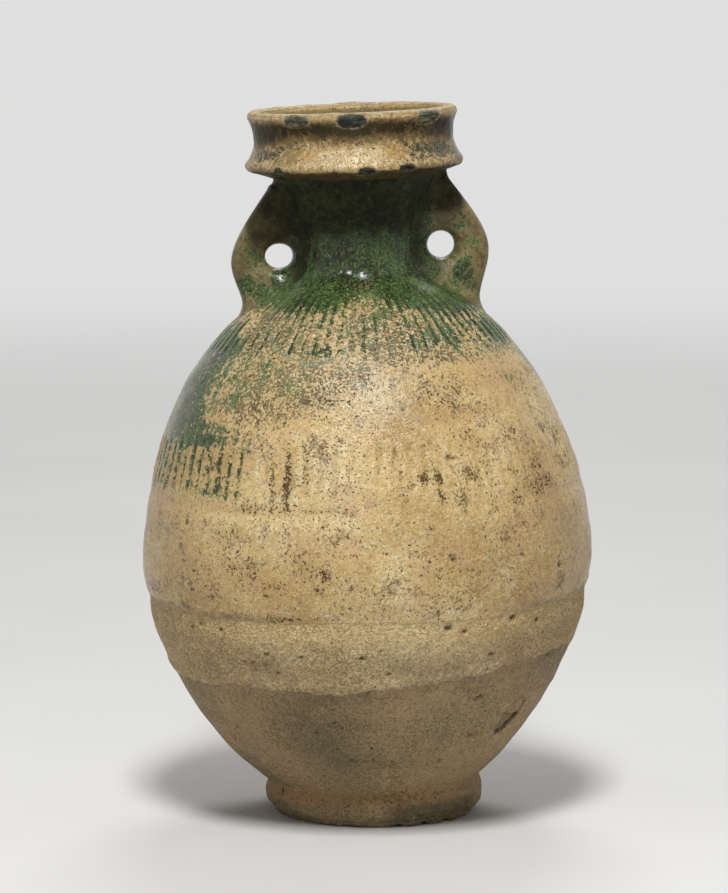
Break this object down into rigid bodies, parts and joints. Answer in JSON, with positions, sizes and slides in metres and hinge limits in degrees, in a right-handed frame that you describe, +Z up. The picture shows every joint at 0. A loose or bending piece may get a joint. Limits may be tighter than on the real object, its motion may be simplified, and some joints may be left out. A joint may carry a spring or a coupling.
{
  "type": "ovoid vase",
  "caption": "Tall egg-shaped stoneware vase with a dished mouth on a narrow funnel neck, pierced lug ears on the shoulder and a solid disc foot.",
  "frame": {"origin": "middle of the foot's resting face, on the table", "axes": "+Z up from the table, -Y towards the viewer of the front, +X to the right of the front, where the higher ear is; the pot's own axis leans 1.4 degrees towards -X"},
  "size_m": [0.1587, 0.1588, 0.2514],
  "materials": {
    "bare_clay": "matt unglazed grey-buff stoneware with pinholes and scraping marks",
    "straw_glaze": "thin glossy straw-coloured glaze over pale slip, with brown specks and pits",
    "green_glaze": "glossy mottled copper green splashed over the straw glaze"
  },
  "bodies": {
    "root": {"foot": "bare_clay", "lower_body": "bare_clay", "upper_body": "straw_glaze", "neck": "green_glaze", "mouth_dish": "straw_glaze", "left_ear": "green_glaze", "right_ear": "green_glaze"}
  },
  "joints": []
}
